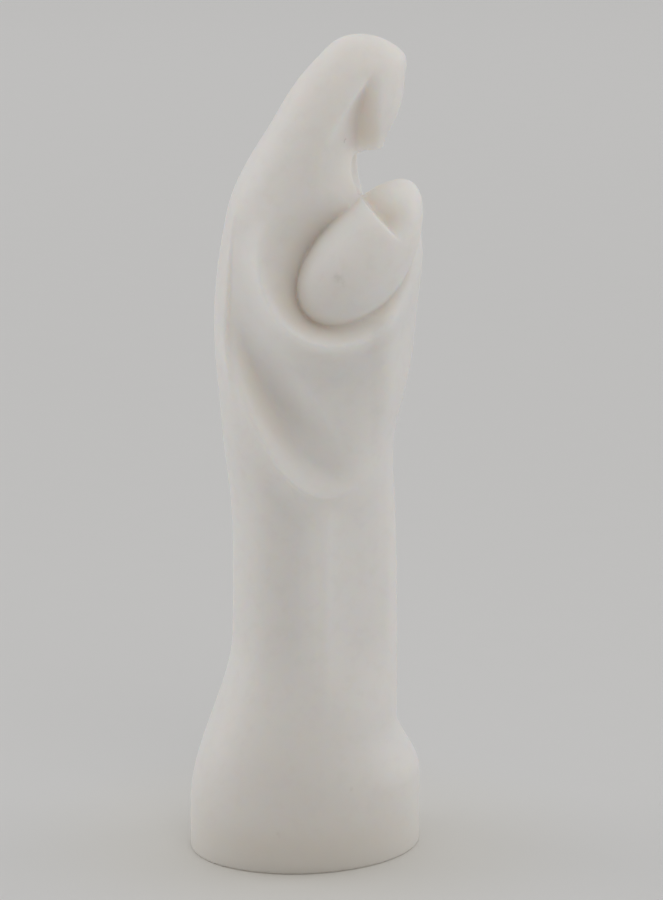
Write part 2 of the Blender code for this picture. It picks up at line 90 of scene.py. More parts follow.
# The mother's block before carving. Each row is one level section:
# height, left edge, right edge, depth in front of the axis, depth behind it.
SECTIONS = (
    (-4.0, -21.2, 27.2, 20.4, 20.5),
    (40.0, -21.2, 27.2, 20.4, 20.5),
    (75.0, -21.1, 27.1, 20.4, 20.5),
    (95.0, -21.0, 26.7, 20.6, 20.6),
    (109.0, -21.8, 26.1, 21.2, 21.0),
    (122.0, -23.4, 25.9, 22.8, 22.0),
    (132.0, -24.2, 27.7, 24.3, 22.8),
    (140.0, -24.9, 29.7, 25.3, 23.3),
    (152.0, -25.8, 31.6, 26.0, 23.8),
    (166.0, -25.6, 33.0, 25.2, 23.4),
    (177.0, -24.4, 34.0, 23.2, 22.4),
    (184.5, -23.1, 33.1, 21.6, 21.2),
    (191.0, -21.8, 30.0, 20.4, 20.2),
    (201.5, -17.6, 23.4, 18.6, 18.6),
    (208.6, -13.5, 22.7, 17.3, 17.4),
    (214.4, -9.8, 25.3, 16.2, 16.5),
    (222.0, -5.3, 28.0, 14.6, 15.0),
    (229.0, -0.4, 28.8, 12.2, 12.6),
    (234.0, 4.2, 28.6, 9.6, 10.0),
    (237.6, 7.9, 24.5, 6.4, 6.8),
    (240.0, 15.8, 15.8, 0.0, 0.0),
)
# Her right side stands further forward than her left, by this share of the distance across.
TURN = 0.087
# All carving fades out over the outermost part of the front, as a share of its depth.
EDGE_FADE = 0.3

# The bell of the skirt: between these heights it widens from the column to the foot.
FLARE_LEFT = (14.0, 67.0)
FLARE_RIGHT = (22.0, 39.0)
FLARE_FRONT = (12.0, 70.0)
# In front and behind, the foot draws in again below this height, by this much.
UNDERCUT_TOP = 17.0
UNDERCUT = 2.8

# The child: an egg on a leaning axis, broad at the feet and narrow at the head.
CHILD_CENTRE = (16.3, -15.0, 180.6)
CHILD_LEAN = math.radians(36.8)
CHILD_TIP_BACK = 1.5
CHILD_TAPER = 0.16
CHILD_BEND = 1.3

# The edge of the swaddling runs across the egg between two places (x, z). Beyond it lies the face.
SWADDLE_FROM = (16.0, 196.2)
SWADDLE_TO = (27.8, 184.0)
SWADDLE_DEPTH = 4.4
SWADDLE_STEP = 0.3
SWADDLE_RUN = 8.0
SWADDLE_FADE = 0.5
SWADDLE_RUN_ROUND = 3.0

# The round hollow that the child lies in, rimmed by the mother's arm.
BOWL_X = 9.5
BOWL_Z = 178.0
BOWL_SHORT_OF_CHILD = 1.35
BOWL_RADIUS = CHILD_LENGTH / MM / 2.0 - BOWL_SHORT_OF_CHILD
# Where the bowl meets the child: degrees round the child, counted anticlockwise from its head as
# negative, how far in front of its deepest the floor lies there, and how steeply it is reached.
BOWL_BEHIND_CHILD = 1.6
BOWL_ROUND = (
    (-300.0, 7.2, 1.0),
    (-250.0, 8.0, 1.0),
    (-210.0, 7.8, 1.1),
    (-190.0, 6.2, 1.4),
    (-175.0, 2.4, 1.7),
    (-150.0, -0.4, 1.5),
    (-120.0, -0.4, 1.4),
    (-85.0, 2.2, 1.6),
    (-60.0, 4.8, 2.0),
    (-30.0, 6.0, 2.2),
    (60.0, 6.4, 1.6),
)
ARM_HEIGHT = 2.0
ARM_WIDTH = 5.5
ARM_TOP = 200.0
ARM_TOP_RUN = 30.0
ELBOW_HEIGHT = 1.8
ELBOW_X = 10.0
ELBOW_RUN = 14.0
ELBOW_Z = 169.0
ELBOW_REACH = 26.0

# The hem of the mantle hangs in front as a parabola, with a lip that stands off the skirt.
HEM_X = 7.3
HEM_LOW = 109.2
HEM_CURVE = 0.042
HEM_STEP = 0.9
HEM_LIP = 0.9
HEM_LIP_RUN = 5.0
HEM_LOSS = 0.7
HEM_RIGHT = 2.0
HEM_FADE_RIGHT = 22.0
HEM_LEFT = -15.0
HEM_FADE_LEFT = 9.0

# Between arm and hem the mantle is scooped out to two flat facets, which meet in a soft ridge.
SCOOP_FLOOR = -20.8
SCOOP_MIDDLE = (-0.4, 140.0)
SCOOP_SLOPE_LEFT = -0.30
SCOOP_SLOPE_RIGHT = 0.05
SCOOP_RIDGE_ROUNDING = 1.0
SCOOP_LEAN = -0.06
SCOOP_RIGHT = 30.0
SCOOP_TOP = 180.0
SCOOP_OFF_RIM = 0.5
# How far each side of the scoop takes to fall to its floor.
SCOOP_FALL_RIM = 13.0
SCOOP_FALL_HEM = 9.5
SCOOP_FALL_BORDER = 5.0
SCOOP_FALL_RIGHT = 8.0
SCOOP_FALL_TOP = 20.0
SCOOP_ROUNDING = 1.6
SIDE_RIDGE_X = 25.5
SIDE_RIDGE_WIDTH = 7.0
SIDE_RIDGE_HEIGHT = 2.4
SIDE_RIDGE_RUN_IN = 10.0
SIDE_RIDGE_RUN_OUT = 25.0
# A slanting valley runs down through the left facet: height, x of its floor, depth.
VALLEY = (
    (112.0, 4.0, 0.0),
    (121.0, 0.6, 2.6),
    (129.5, -3.0, 5.0),
    (137.0, -7.2, 5.4),
    (148.0, -13.8, 4.9),
    (155.0, -17.2, 4.4),
    (168.0, -19.4, 2.4),
    (190.0, -19.8, 0.0),
)
VALLEY_LEFT = 11.0
VALLEY_RIGHT = 12.5

# A long, shallow fold runs down the front of the skirt.
FOLD_X = -4.0
FOLD_DEPTH = 2.9
FOLD_WIDTH = 11.0
FOLD_HEIGHTS = (24.0, 80.0)
FOLD_START = 9.0
# Beside the fold the skirt is cut to a flat facet: where it starts and ends across, how deep it
# cuts into the round of the skirt in its middle and at its far side, and how far the soft ridge
# between fold and facet stands out.
FACET_FROM = 7.0
FACET_TO = 21.5
FACET_DEPTH = 1.35
FACET_FAR_DEPTH = 2.2
FACET_FAR_RUN = 6.0
FACET_RIDGE = 0.9
FACET_RIDGE_RUN = 9.0
FACET_ROUNDING = 1.2
FACET_HEIGHTS = (42.0, 64.0)
FACET_START = 7.0

# The mantle's left border is a ridge: height, x of the ridge, depth that falls away inside it.
BORDER = (
    (134.0, -20.7, 0.0),
    (144.4, -21.8, 1.0),
    (153.6, -22.7, 1.5),
    (168.6, -22.1, 1.4),
    (181.6, -21.3, 1.0),
    (198.0, -18.2, 0.0),
)
BORDER_FALL = 1.4
BORDER_RUN = 10.0

# The veil's edge beside the mother's face: height, x of the edge, width of the fall inside it,
# depth of the hollow. From the fall the face rises evenly to the cheek.
VEIL_EDGE = (
    (192.0, 3.0, 13.0, 0.0),
    (198.0, 3.0, 13.0, 1.2),
    (203.0, 3.4, 12.6, 3.4),
    (208.5, 4.6, 12.0, 6.4),
    (215.1, 8.0, 8.6, 6.8),
    (220.2, 11.4, 5.2, 5.6),
    (224.6, 14.6, 3.0, 3.6),
    (228.6, 17.4, 1.8, 1.4),
    (231.5, 19.6, 1.0, 0.0),
)
CHEEK = 21.0
CHEEK_ROUNDING = 0.8
CHEEK_RUN_LEAST = 4.0
CHEEK_RISE_MOST = 1.5
CHEEK_STEEPNESS = 0.64
BACK_OF_FACE = 0.55

# The gap between chin and child, cut right through. Each row is a place on its outline, from the
# chin's underside round the wall to the shoulder: x and z in front, x and z behind, and how much
# the stone bulges into the gap there halfway through.
GAP_OUTLINE = (
    (60.0, 209.3, 60.0, 209.3, -1.0),
    (20.0, 208.8, 20.8, 208.9, -1.2),
    (16.0, 208.4, 17.4, 208.6, -1.2),
    (13.8, 207.2, 16.2, 207.4, -0.8),
    (12.9, 204.2, 15.6, 204.2, 0.0),
    (13.2, 202.0, 15.5, 201.8, 0.0),
    (14.1, 199.4, 15.6, 198.8, 0.0),
    (16.2, 194.8, 16.6, 193.2, 0.6),
    (19.4, 190.0, 19.4, 187.4, 1.6),
    (25.0, 186.2, 25.0, 182.8, 2.2),
    (34.0, 183.4, 34.0, 179.6, 2.4),
    (60.0, 181.0, 60.0, 177.0, 2.4),
)
GAP_FRONT = -16.0
GAP_BACK = 18.0
GAP_REACH = 60.0
GAP_SMOOTHNESS = 8
GAP_STATIONS = 25

# The look of the stone. Each noise has the size of its blotches in metres, its detail, and a shift
# that sets it apart from the others. Flaws, the patches of painted shade and heights are in drawn
# millimetres, the rest in metres.
NOISE_ROUGHNESS = 0.55
STONE = (0.852, 0.840, 0.827)
CLOUDS = (0.035, 3.0, 0.3)
CLOUDINESS = 0.10
CLOUD_RANGE = (0.35, 0.75)
CLOUD_SHADE = (0.74, 0.71, 0.67)
MOTTLE = (0.004, 4.0, 1.1)
MOTTLING = 0.10
MOTTLE_RANGE = (0.45, 0.75)
MOTTLE_SHADE = (0.66, 0.62, 0.57)
# Place, radius and strength: two broad, faint patches of painted shade, on the child's lower left
# and below the mother's face, then the small flaws.
FLAWS_AND_PAINTED_SHADE = (
    ((4.5, -26.0, 171.5), 15.0, 0.13),
    ((8.0, -16.0, 205.0), 10.0, 0.08),
    ((9.6, -28.4, 175.2), 2.2, 0.20),
    ((11.2, -28.6, 174.0), 1.3, 0.16),
    ((11.6, -10.6, 211.6), 0.8, 0.5),
    ((13.4, -27.6, 24.8), 1.0, 0.16),
    ((15.0, -27.0, 25.2), 0.7, 0.14),
    ((-7.6, -32.1, 13.0), 1.2, 0.14),
    ((20.1, -12.9, 71.3), 1.1, 0.12),
    ((19.0, -13.9, 68.3), 1.3, 0.12),
)
# The flaws and the patches of painted shade share these ragged outlines and this colour.
SPOT_RAGGEDNESS = 1.6
SPOT_GRAIN = (0.0016, 2.0, 7.7)
FLAW_AND_PAINTED_SHADE_COLOUR = (0.42, 0.38, 0.34)
# Painted shade on the lower front, darker towards the ground and the front: up to what height, from
# where to where in shares of the foot's depth, and how strong it is.
PAINTED_LOW_SHADE_HEIGHT = 85.0
PAINTED_LOW_SHADE_FRONT = (-0.5, 0.1)
PAINTED_LOW_SHADE_STRENGTH = 0.35
PAINTED_LOW_SHADE_COLOUR = (0.62, 0.58, 0.53)
# Painted shade, darker and warmer, where a place sees little of the sky, in hollows and near the
# floor: how much of the sky a place sees within this distance, where the shade is full and where it
# is none, and its strength.
HOLLOW_REACH = 0.025
HOLLOW_SAMPLES = 8
HOLLOW_RANGE = (0.55, 0.97)
HOLLOW_PAINTED_SHADE_STRENGTH = 0.65
HOLLOW_PAINTED_SHADE = (0.830, 0.785, 0.725)
# The polish is uneven: rubbed waves change the gloss and the surface, over a fine grain.
RUBBED = (0.012, 2.0, 2.3)
RUBBED_RANGE = (0.3, 0.7)
RUBBED_HEIGHT = 0.0002
ROUGHNESS = (0.38, 0.50)
GRAIN = (0.0008, 2.0, 4.7)
GRAIN_HEIGHT = 0.00001
SPECULAR = 0.4
# How far light spreads in the stone, and the shares of that for red, green and blue. From the
# dense height down, less and less of it goes in.
TRANSLUCENCY = 0.010
COLOUR_SPREAD = (1.0, 0.8, 0.6)
DENSE_HEIGHT = 12.0
TRANSLUCENT_AT_FOOT = 0.2

# The studio, in metres and watts. By the distance from the origin, the paper is painted lighter far
# off, as painted light, and darker and warmer close to the foot, as a painted shadow.
PAPER = (0.742, 0.742, 0.742)
PAPER_FAR_PAINTED_LIGHT = (0.790, 0.790, 0.792)
PAPER_FAR_PAINTED_LIGHT_RANGE = (0.3, 2.5)
PAPER_PAINTED_SHADOW = (0.740, 0.730, 0.705)
PAPER_PAINTED_SHADOW_RANGE = (0.03, 0.10)
PAPER_ROUGHNESS = 0.9
PAPER_SPECULAR = 0.2
FIBRES = (0.02, 3.0, 0.0)
FIBRE_RANGE = (0.3, 0.8)
FIBRE_MOTTLING = 0.02
FIBRE_SHADE = (0.6, 0.6, 0.6)
FLOOR_RADIUS = 30.0
FLOOR_SEGMENTS = 96
# The sky's colour and strength change from the front to the back over these ranges of its
# direction's Y, and its strength changes towards the top over this range of its Z.
SKY_FRONT_COLOUR = (1.0, 0.965, 0.905)
SKY_BACK_COLOUR = (1.0, 1.0, 1.0)
SKY_COLOUR_RANGE = (-0.8, 0.2)
SKY_FRONT = 0.305
SKY_BACK = 0.515
SKY_RANGE = (-1.0, 0.3)
SKY_TOP = 0.66
SKY_TOP_RANGE = (0.0, 0.9)
# Place, size, power and aim of each light.
LIGHTS = {
    "high": ((0.16, -0.45, 0.75), 0.35, 0.42, (0.0, 0.0, 0.20)),
    "right": ((3.40, 0.60, 0.90), 2.4, 17.0, (0.0, 0.0, 0.12)),
    "left": ((-3.20, 0.70, 0.90), 2.4, 18.5, (0.0, 0.0, 0.12)),
}

# The photograph's view, in metres, with the sensor in millimetres and the frame in pixels.
CAMERA_TARGET = (0.0078, 0.0, 0.1195)
CAMERA_ELEVATION = math.radians(13.0)
CAMERA_DISTANCE = 0.95
SENSOR = 36.0
PHOTO_HEIGHT = 900.0
PIXELS_PER_METRE = 3442.0

# A Mix node has sockets of the same name, so they are told apart by number.
MIX_FACTOR = 0
MIX_NUMBERS = (2, 3)
MIX_COLOURS = (6, 7)
MIXED_NUMBER = 0
MIXED_COLOUR = 2


def ease(t):
    """0 below 0, 1 above 1, and a smooth S between."""
    t = np.clip(t, 0.0, 1.0)
    return t * t * (3.0 - 2.0 * t)


def spline(rows, at):
    """The natural cubic curve through rows of (place, value, ...), read at each place of at."""
    rows = np.array(rows, float)
    place, value = rows[:, 0], rows[:, 1:]
    at = np.clip(at, place[0], place[-1])
    gap = np.diff(place)
    slope = np.diff(value, axis=0) / gap[:, None]
    count = len(place)
    system = np.eye(count)
    right = np.zeros_like(value)
    for i in range(1, count - 1):
        system[i, i - 1 : i + 2] = gap[i - 1], 2.0 * (gap[i - 1] + gap[i]), gap[i]
        right[i] = 6.0 * (slope[i] - slope[i - 1])
    bend = np.linalg.solve(system, right)
    i = np.clip(np.searchsorted(place, at, side="right") - 1, 0, count - 2)
    a = ((place[i + 1] - at) / gap[i])[..., None]
    b = 1.0 - a
    curved = (a**3 - a) * bend[i] + (b**3 - b) * bend[i + 1]
    return a * value[i] + b * value[i + 1] + curved * gap[i][..., None] ** 2 / 6.0


def follow(rows, z):
    """The columns of a table of (height, value, ...) at height z, on a smooth curve."""
    return spline(rows, np.array(float(z)))


def on_child(x, z):
    """Where a place in the front view lies on the child: along the axis (-1 to 1), and across it."""
    cx, _, cz = CHILD_CENTRE
    along = (x - cx) * math.sin(CHILD_LEAN) + (z - cz) * math.cos(CHILD_LEAN)
    across = (x - cx) * math.cos(CHILD_LEAN) - (z - cz) * math.sin(CHILD_LEAN)
    along = along / (CHILD_LENGTH / MM / 2.0)
    return along, across - child_bend(along)


def child_bend(along):
    """How far the child's axis bows out to the right and down."""
    return CHILD_BEND * (1.0 - np.clip(along, -1.0, 1.0) ** 2)


def child_middle(along):
    """The y of the child's middle plane, which leans back towards the head."""
    return CHILD_CENTRE[1] + CHILD_TIP_BACK * along


def off_child(x, z):
    """Distance in the front view from the child's outline, positive outside it."""
    along, across = on_child(x, z)
    half_length = CHILD_LENGTH / MM / 2.0
    half_width = CHILD_WIDTH / MM / 2.0 * (1.0 - CHILD_TAPER * np.clip(along, -1.0, 1.0))
    wide = across / half_width
    radius = np.hypot(along, wide) + NEARLY_ZERO
    steepness = np.hypot(along / half_length, wide / half_width) + NEARLY_ZERO
    return (radius - 1.0) * radius / steepness


def past_swaddle(x, z):
    """Distance beyond the swaddling's edge, and how far along that edge, from 0 to 1."""
    edge = Vector((SWADDLE_TO[0] - SWADDLE_FROM[0], SWADDLE_TO[1] - SWADDLE_FROM[1]))
    length = edge.length
    edge.normalize()
    dx, dz = x - SWADDLE_FROM[0], z - SWADDLE_FROM[1]
    return -dx * edge.y + dz * edge.x, (dx * edge.x + dz * edge.y) / length


def over_hem(x, z):
    """Distance above the hem's parabola, measured square to it."""
    rise = z - HEM_LOW - HEM_CURVE * (x - HEM_X) ** 2
    return rise / np.hypot(1.0, 2.0 * HEM_CURVE * (x - HEM_X))


def bowl_floor(x, z):
    """The y that the bowl reaches at the child's outline, and how steeply it gets there."""
    along, across = on_child(x, z)
    around = np.degrees(np.arctan2(across, along * CHILD_LENGTH / MM / 2.0))
    around = np.where(around > BOWL_ROUND[-1][0], around - 360.0, around)
    rise, power = np.moveaxis(spline(BOWL_ROUND, around), -1, 0)
    return child_middle(along) + BOWL_BEHIND_CHILD - rise, power


def arm_relief(x, z):
    """The rounded arm along the rim of the bowl, which fades where it turns up into the shoulder."""
    off_rim = np.hypot(x - BOWL_X, z - BOWL_Z) - BOWL_RADIUS
    roll = ease(1.0 - np.abs(off_rim) / ARM_WIDTH)
    elbow = ELBOW_HEIGHT * ease((x - ELBOW_X) / ELBOW_RUN) * ease(1.0 - np.abs(z - ELBOW_Z) / ELBOW_REACH)
    return (ARM_HEIGHT + elbow) * roll * ease((ARM_TOP - z) / ARM_TOP_RUN)


def hem_relief(x, z):
    """The lip of the mantle over the skirt, which dies away towards both sides."""
    above = over_hem(x, z)
    lip = HEM_LIP * ease(above / HEM_STEP) * np.exp(-np.maximum(above, 0.0) / HEM_LIP_RUN)
    fading_right = 1.0 - HEM_LOSS * ease((x - HEM_RIGHT) / HEM_FADE_RIGHT)
    return lip * fading_right * ease((x - HEM_LEFT) / HEM_FADE_LEFT)


def fold_relief(x, z):
    """The long fold of the skirt, which starts under the hem and runs out in the bell."""
    across = ease(1.0 - np.abs(x - FOLD_X) / FOLD_WIDTH)
    foot, top = FOLD_HEIGHTS
    return -FOLD_DEPTH * across * ease((z - foot) / (top - foot)) * ease(-over_hem(x, z) / FOLD_START)


def facet_relief(x, z):
    """The flat facet to the right of the fold, and the soft ridge that parts the two."""
    past = x - FACET_FROM
    past = (past + np.hypot(past, FACET_ROUNDING)) / 2.0
    share = np.clip(past / (FACET_TO - FACET_FROM), 0.0, 1.0)
    ridge = FACET_RIDGE * (1.0 - share) * ease(1.0 + (x - FACET_FROM) / FACET_RIDGE_RUN)
    far = FACET_FAR_DEPTH * share * ease(1.0 - (x - FACET_TO) / FACET_FAR_RUN)
    foot, top = FACET_HEIGHTS
    runs = ease((z - foot) / (top - foot)) * ease(-over_hem(x, z) / FACET_START)
    return (ridge - 4.0 * FACET_DEPTH * share * (1.0 - share) - far) * runs


def valley_relief(x, z):
    """The slanting valley of the mantle, inside its left border."""
    floor, depth = follow(VALLEY, z)
    side = x - floor
    return -depth * ease(1.0 + side / VALLEY_LEFT) * ease(1.0 - side / VALLEY_RIGHT)


def side_relief(x, z):
    """The fuller side of the mantle, to the right of the scoop."""
    ridge = ease(1.0 - np.abs(x - SIDE_RIDGE_X) / SIDE_RIDGE_WIDTH)
    runs = ease(over_hem(x, z) / SIDE_RIDGE_RUN_IN) * ease((SCOOP_TOP - z) / SIDE_RIDGE_RUN_OUT)
    return SIDE_RIDGE_HEIGHT * ridge * runs


def scoop(x, y, z):
    """The broad hollow of the mantle between arm, hem and borders: how far it cuts in to its facets."""
    off_rim = np.hypot(x - BOWL_X, z - BOWL_Z) - BOWL_RADIUS
    border, _ = follow(BORDER, z)
    share = ease((off_rim - SCOOP_OFF_RIM) / SCOOP_FALL_RIM) * ease(over_hem(x, z) / SCOOP_FALL_HEM)
    share *= ease((x - border) / SCOOP_FALL_BORDER) * ease((SCOOP_RIGHT - x) / SCOOP_FALL_RIGHT)
    share *= ease((SCOOP_TOP - z) / SCOOP_FALL_TOP)
    ridge_x, middle_z = SCOOP_MIDDLE
    off_ridge = x - ridge_x
    facets = (SCOOP_SLOPE_RIGHT + SCOOP_SLOPE_LEFT) / 2.0 * off_ridge
    facets += (SCOOP_SLOPE_RIGHT - SCOOP_SLOPE_LEFT) / 2.0 * np.hypot(off_ridge, SCOOP_RIDGE_ROUNDING)
    floor = SCOOP_FLOOR + facets + SCOOP_LEAN * (z - middle_z)
    return (floor - y + np.hypot(floor - y, SCOOP_ROUNDING)) / 2.0 * share


def border_relief(x, z):
    """The mantle's left border: the cloth falls away inside it, so that it stands as a ridge."""
    edge, depth = follow(BORDER, z)
    inward = x - edge
    return -depth * ease(inward / BORDER_FALL) * ease(1.0 - (inward - BORDER_FALL) / BORDER_RUN)


def face_relief(x, z):
    """The hollow between the veil's edge and the cheek, which stays a soft ridge."""
    edge, fall, depth = follow(VEIL_EDGE, z)
    below_cheek = CHEEK - x
    rounded = (below_cheek + np.hypot(below_cheek, CHEEK_ROUNDING)) / 2.0
    rise = np.minimum(rounded / max(CHEEK - edge - fall, CHEEK_RUN_LEAST), CHEEK_RISE_MOST)
    rise **= CHEEK_STEEPNESS
    return -depth * ease((x - edge) / fall) * rise


def carve_front(x, y, z, frontness):
    """The front of the block after carving: every cut goes straight in from the front."""
    reliefs = (
        arm_relief,
        hem_relief,
        valley_relief,
        side_relief,
        border_relief,
        fold_relief,
        facet_relief,
        face_relief,
    )
    relief = sum(relief(x, z) for relief in reliefs)
    edge_fade = ease(frontness / EDGE_FADE)
    carved = y + (scoop(x, y, z) - relief) * edge_fade
    outside_child = np.maximum(off_child(x, z), 0.0)
    inside_rim = np.maximum(BOWL_RADIUS - np.hypot(x - BOWL_X, z - BOWL_Z), 0.0)
    floor, power = bowl_floor(x, z)
    sunk = (inside_rim / (inside_rim + outside_child + NEARLY_ZERO)) ** power * edge_fade
    return carved + (np.maximum(floor, carved) - carved) * sunk


def carve_back(x, y, z, backness):
    """The back of the block: plain, with a fainter hollow beside the far edge of the veil."""
    return y + BACK_OF_FACE * face_relief(x, z) * ease(backness / EDGE_FADE)


def flare(z, span):
    """How far the skirt has widened at a height: 1 at the foot, 0 above the bell."""
    return ease((span[1] - z) / (span[1] - span[0]))


def mother_sections():
    """The block's sections, closely spaced, and the crown where they close."""
    z, left, right, front, back = SECTIONS[-2]
    rows = np.array([*SECTIONS, (z, right, left, -front, -back)])
    strides = np.linalg.norm(np.diff(rows[:, :3], axis=0), axis=1)
    places = np.concatenate([[0.0], np.cumsum(strides)])
    table = np.column_stack([places, rows])
    crown = len(SECTIONS) - 1
    at = []
    for i in range(crown):
        step = RING_STEP_SKIRT if rows[i + 1, 0] <= SKIRT_TOP else RING_STEP_FIGURE
        count = max(2, math.ceil(strides[i] / step))
        at.append(np.linspace(places[i], places[i + 1], count, endpoint=False))
    return spline(table, np.concatenate(at)), rows[crown]


def mother_rings():
    """Points of the carved mother, ring by ring from below the ground up, and the crown's point."""
    sections, crown = mother_sections()
    front_turns = np.linspace(0.0, math.pi, FRONT_SEGMENTS, endpoint=False)
    back_turns = np.linspace(math.pi, 2.0 * math.pi, BACK_SEGMENTS, endpoint=False)
    turns = np.concatenate([front_turns, back_turns])
    towards_front = np.sin(turns)
    half_foot = FOOT_WIDTH / MM / 2.0
    foot_depth = math.sqrt((FOOT_DEPTH / MM / 2.0) ** 2 - (TURN * half_foot) ** 2)
    rings = []
    for z, left, right, front, back in sections:
        left -= (half_foot + left) * flare(z, FLARE_LEFT)
        right += (half_foot - right) * flare(z, FLARE_RIGHT)
        front += (foot_depth - front) * flare(z, FLARE_FRONT)
        back += (foot_depth - back) * flare(z, FLARE_FRONT)
        undercut = UNDERCUT * max(0.0, 1.0 - z / UNDERCUT_TOP) ** 2
        front -= undercut
        back -= undercut
        middle = (left + right) / 2.0
        x = middle + (right - left) / 2.0 * np.cos(turns)
        carved_front = carve_front(x, -front * towards_front, z, towards_front)
        carved_back = carve_back(x, -back * towards_front, z, -towards_front)
        y = np.where(towards_front > 0.0, carved_front, carved_back) + TURN * (x - middle)
        rings.append(np.column_stack([x, y, np.full_like(x, z)]))
    return rings, (crown[1], 0.0, crown[0])


def add_object(name, shape, helper=False):
    """An object made of a bmesh drawn in millimetres. A helper only shapes another object."""
    bmesh.ops.scale(shape, vec=(MM, MM, MM), verts=shape.verts)
    bmesh.ops.recalc_face_normals(shape, faces=shape.faces)
    mesh = bpy.data.meshes.new(name)
    shape.to_mesh(mesh)
    shape.free()
    thing = bpy.data.objects.new(name, mesh)
    bpy.context.scene.collection.objects.link(thing)
    if helper:
        thing.hide_render = True
        thing.display_type = "WIRE"
    return thing


def make_mother():
    """The mother, lofted ring by ring and closed at the crown and below the ground."""
    rings, crown = mother_rings()
    shape = bmesh.new()
    loops = [[shape.verts.new(place) for place in ring] for ring in rings]
    top = shape.verts.new(crown)
    count = len(loops[0])
    for lower, upper in zip(loops, loops[1:]):
        for i in range(count):
            j = (i + 1) % count
            shape.faces.new((lower[i], lower[j], upper[j], upper[i]))
    for i in range(count):
        shape.faces.new((loops[-1][i], loops[-1][(i + 1) % count], top))
    shape.faces.new(reversed(loops[0]))
    return add_object("mother", shape)


def make_child():
    """The swaddled child: a sphere drawn out to an egg, with the face sunk behind the swaddling."""
    shape = bmesh.new()
    bmesh.ops.create_uvsphere(shape, u_segments=CHILD_SEGMENTS, v_segments=CHILD_RINGS, radius=1.0)
    half_length = CHILD_LENGTH / MM / 2.0
    half_width = CHILD_WIDTH / MM / 2.0
    half_depth = CHILD_DEPTH / MM / 2.0
    axis = Vector((math.sin(CHILD_LEAN), 0.0, math.cos(CHILD_LEAN)))
    across = Vector((math.cos(CHILD_LEAN), 0.0, -math.sin(CHILD_LEAN)))
    for vertex in shape.verts:
        a, b, c = vertex.co
        girth = 1.0 - CHILD_TAPER * c
        place = Vector(CHILD_CENTRE) + axis * (c * half_length)
        place += across * (a * girth * half_width + child_bend(c))
        place.y = child_middle(c) + b * girth * half_depth
        vertex.co = place
    edge = Vector((SWADDLE_TO[0] - SWADDLE_FROM[0], 0.0, SWADDLE_TO[1] - SWADDLE_FROM[1])).normalized()
    beyond = Vector((-edge.z, 0.0, edge.x))
    corner = Vector((SWADDLE_FROM[0], 0.0, SWADDLE_FROM[1]))
    for step in (0.0, SWADDLE_STEP):
        everything = [*shape.verts, *shape.edges, *shape.faces]
        bmesh.ops.bisect_plane(shape, geom=everything, plane_co=corner + beyond * step, plane_no=beyond)
    for vertex in shape.verts:
        x, y, z = vertex.co
        past, along_edge = past_swaddle(x, z)
        in_front = ease((child_middle(on_child(x, z)[0]) - y) / SWADDLE_RUN_ROUND)
        sunk = ease(past / SWADDLE_STEP) * ease(1.0 - (past - SWADDLE_STEP) / SWADDLE_RUN)
        vertex.co.y += SWADDLE_DEPTH * sunk * ease((1.0 - along_edge) / SWADDLE_FADE) * in_front
    return add_object("child_mass", shape, helper=True)


def gap_outline(outline, y):
    """The gap's outline at one depth through the stone."""
    through = min(1.0, max(0.0, (y - GAP_FRONT) / (GAP_BACK - GAP_FRONT)))
    x = outline[:, 0] + (outline[:, 2] - outline[:, 0]) * through
    z = outline[:, 1] + (outline[:, 3] - outline[:, 1]) * through
    halfway = 4.0 * through * (1.0 - through)
    return np.column_stack([x, np.full_like(x, y), z + outline[:, 4] * halfway])


def make_gap_cutter():
    """The cut between chin and child, drawn through the stone from front to back."""
    rows = [(float(i), *row) for i, row in enumerate(GAP_OUTLINE)]
    outline = spline(rows, np.linspace(0.0, len(rows) - 1.0, GAP_SMOOTHNESS * (len(rows) - 1) + 1))
    stations = [-GAP_REACH, *np.linspace(GAP_FRONT, GAP_BACK, GAP_STATIONS), GAP_REACH]
    shape = bmesh.new()
    loops = [[shape.verts.new(place) for place in gap_outline(outline, y)] for y in stations]
    count = len(outline)
    for near, far in zip(loops, loops[1:]):
        for i in range(count):
            j = (i + 1) % count
            shape.faces.new((near[i], near[j], far[j], far[i]))
    shape.faces.new(loops[0])
    shape.faces.new(reversed(loops[-1]))
    return add_object("gap_cutter", shape, helper=True)


def make_ground_cutter():
    """Everything below the ground, so that the foot stands on one true plane."""
    wide, deep = 2.0 * FOOT_WIDTH / MM, 2.0 * FOOT_DEPTH / MM
    shape = bmesh.new()
    bmesh.ops.create_cube(shape, size=1.0)
    bmesh.ops.scale(shape, vec=(wide, deep, GROUND_DEPTH), verts=shape.verts)
    bmesh.ops.translate(shape, vec=(0.0, 0.0, -GROUND_DEPTH / 2.0), verts=shape.verts)
    return add_object("ground_cutter", shape, helper=True)


def add_boolean(thing, other, operation):
    """One Boolean step on thing's stack."""
    step = thing.modifiers.new(f"{operation.lower()} {other.name}", "BOOLEAN")
    step.operation = operation
    step.object = other
    step.solver = "EXACT"


def evaluated_mesh(thing):
    """The mesh that thing's modifiers leave."""
    bpy.context.view_layer.update()
    return bpy.data.meshes.new_from_object(thing.evaluated_get(bpy.context.evaluated_depsgraph_get()))


def settle(thing):
    """Bakes thing's modifiers into its mesh."""
    mesh = evaluated_mesh(thing)
    thing.modifiers.clear()
    thing.data = mesh


def rub_off_arris(thing):
    """Takes the sharp edge off all round the underside, which stays flat on the ground."""
    shape = bmesh.new()
    shape.from_mesh(thing.data)
    everything = [*shape.verts, *shape.edges, *shape.faces]
    level = (0.0, 0.0, ARRIS_HEIGHT * MM)
    bmesh.ops.bisect_plane(shape, geom=everything, plane_co=level, plane_no=(0.0, 0.0, 1.0))
    drawn_in = 1.0 - 2.0 * ARRIS_DEPTH * MM / FOOT_WIDTH
    for vertex in shape.verts:
        if vertex.co.z < NEARLY_ZERO:
            vertex.co.xy *= drawn_in
    shape.to_mesh(thing.data)
    shape.free()


